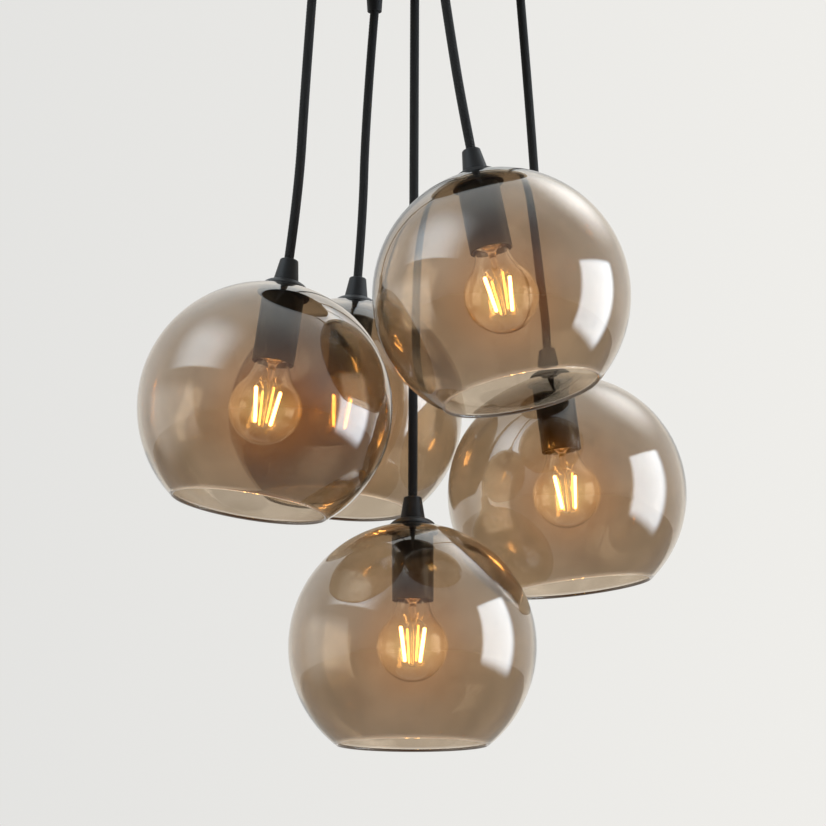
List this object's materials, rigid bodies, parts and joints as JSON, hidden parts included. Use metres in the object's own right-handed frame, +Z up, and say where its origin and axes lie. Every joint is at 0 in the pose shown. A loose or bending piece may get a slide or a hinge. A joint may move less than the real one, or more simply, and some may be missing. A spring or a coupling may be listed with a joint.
{
  "type": "cluster pendant light",
  "caption": "Cluster pendant light: open smoke glass globes with clear filament bulbs, hung at different heights on black textile cords from one round canopy.",
  "frame": {"origin": "centre of the ceiling bracket's top face, on the ceiling", "axes": "+Z up into the ceiling, +X to the right and +Y away from the picture's camera"},
  "size_m": [0.3469, 0.3382, 0.55],
  "materials": {
    "black_textile": "braided",
    "black_plastic": "matte",
    "black_metal": "matte",
    "black_steel": "satin",
    "dark_steel": "satin",
    "zinc_steel": "satin",
    "brass": "satin",
    "rubber": "matte",
    "white_plastic": "matte",
    "smoke_glass": "polished",
    "clear_glass": "polished",
    "ceramic": "satin",
    "nickel": "satin",
    "filament": "glowing"
  },
  "bodies": {
    "canopy": {"ceiling_bracket": "zinc_steel", "canopy_cover": "black_metal", "canopy_screws": "black_steel", "upper_cord_grips": "black_plastic", "grip_nuts": "zinc_steel", "terminal_block": "white_plastic", "terminal_screws": "zinc_steel", "canopy_leads": "black_textile", "earth_screw": "brass", "supply_grommet": "rubber"},
    "left_cord": {"left_cord": "black_textile"},
    "left_pendant": {"left_cord_grip": "black_plastic", "left_top_cap": "black_metal", "left_shade": "smoke_glass", "left_shade_fixings": "dark_steel", "left_holder_sleeve": "black_plastic", "left_socket": "ceramic"},
    "left_bulb": {"left_bulb_cap": "nickel", "left_bulb_glass": "clear_glass", "left_bulb_filaments": "filament"},
    "back_cord": {"back_cord": "black_textile"},
    "back_pendant": {"back_cord_grip": "black_plastic", "back_top_cap": "black_metal", "back_shade": "smoke_glass", "back_shade_fixings": "dark_steel", "back_holder_sleeve": "black_plastic", "back_socket": "ceramic"},
    "back_bulb": {"back_bulb_cap": "nickel", "back_bulb_glass": "clear_glass", "back_bulb_filaments": "filament"},
    "low_cord": {"low_cord": "black_textile"},
    "low_pendant": {"low_cord_grip": "black_plastic", "low_top_cap": "black_metal", "low_shade": "smoke_glass", "low_shade_fixings": "dark_steel", "low_holder_sleeve": "black_plastic", "low_socket": "ceramic"},
    "low_bulb": {"low_bulb_cap": "nickel", "low_bulb_glass": "clear_glass", "low_bulb_filaments": "filament"},
    "front_cord": {"front_cord": "black_textile"},
    "front_pendant": {"front_cord_grip": "black_plastic", "front_top_cap": "black_metal", "front_shade": "smoke_glass", "front_shade_fixings": "dark_steel", "front_holder_sleeve": "black_plastic", "front_socket": "ceramic"},
    "front_bulb": {"front_bulb_cap": "nickel", "front_bulb_glass": "clear_glass", "front_bulb_filaments": "filament"},
    "right_cord": {"right_cord": "black_textile"},
    "right_pendant": {"right_cord_grip": "black_plastic", "right_top_cap": "black_metal", "right_shade": "smoke_glass", "right_shade_fixings": "dark_steel", "right_holder_sleeve": "black_plastic", "right_socket": "ceramic"},
    "right_bulb": {"right_bulb_cap": "nickel", "right_bulb_glass": "clear_glass", "right_bulb_filaments": "filament"}
  },
  "joints": [
    {"name": "left_swing", "type": "hinge", "parent": "canopy", "child": "left_cord", "pos_m": [-0.0627, -0.0559, -0.044], "axis": [-0.6292, 0.7772, 0], "range_deg": [0, 20]},
    {"name": "left_twist", "type": "hinge", "parent": "left_cord", "child": "left_pendant", "pos_m": [-0.09157, -0.07394, -0.34897], "axis": [0.1477, 0.0328, 0.9885], "range_deg": [-180, 180]},
    {"name": "left_bulb_out", "type": "slide", "parent": "left_pendant", "child": "left_bulb", "axis": [-0.1477, -0.0328, -0.9885], "range_m": [0, 0.1]},
    {"name": "back_swing", "type": "hinge", "parent": "canopy", "child": "back_cord", "pos_m": [-0.0275, 0.0794, -0.044], "axis": [0.848, 0.53, 0], "range_deg": [0, 20]},
    {"name": "back_twist", "type": "hinge", "parent": "back_cord", "child": "back_pendant", "pos_m": [-0.04649, 0.07457, -0.32557], "axis": [0.087, 0.0504, 0.9949], "range_deg": [-180, 180]},
    {"name": "back_bulb_out", "type": "slide", "parent": "back_pendant", "child": "back_bulb", "axis": [-0.087, -0.0504, -0.9949], "range_m": [0, 0.1]},
    {"name": "low_swing", "type": "hinge", "parent": "canopy", "child": "low_cord", "pos_m": [0, 0, -0.044], "axis": [-0.4907, 0.8713, 0], "range_deg": [0, 4]},
    {"name": "low_twist", "type": "hinge", "parent": "low_cord", "child": "low_pendant", "pos_m": [-0.00156, -0.00094, -0.48703], "axis": [0.0017, 0.0227, 0.9997], "range_deg": [-180, 180]},
    {"name": "low_bulb_out", "type": "slide", "parent": "low_pendant", "child": "low_bulb", "axis": [-0.0017, -0.0227, -0.9997], "range_m": [0, 0.1]},
    {"name": "front_swing", "type": "hinge", "parent": "canopy", "child": "front_cord", "pos_m": [0.0123, -0.0831, -0.044], "axis": [-0.9003, -0.4352, 0], "range_deg": [0, 20]},
    {"name": "front_twist", "type": "hinge", "parent": "front_cord", "child": "front_pendant", "pos_m": [0.0521, -0.10764, -0.28657], "axis": [-0.1887, 0.0668, 0.9798], "range_deg": [-180, 180]},
    {"name": "front_bulb_out", "type": "slide", "parent": "front_pendant", "child": "front_bulb", "axis": [0.1887, -0.0668, -0.9798], "range_m": [0, 0.1]},
    {"name": "right_swing", "type": "hinge", "parent": "canopy", "child": "right_cord", "pos_m": [0.0708, 0.0451, -0.044], "axis": [0.4907, -0.8713, 0], "range_deg": [0, 20]},
    {"name": "right_twist", "type": "hinge", "parent": "right_cord", "child": "right_pendant", "pos_m": [0.09937, 0.05538, -0.38158], "axis": [-0.1167, 0, 0.9932], "range_deg": [-180, 180]},
    {"name": "right_bulb_out", "type": "slide", "parent": "right_pendant", "child": "right_bulb", "axis": [0.1167, 0, -0.9932], "range_m": [0, 0.1]}
  ]
}
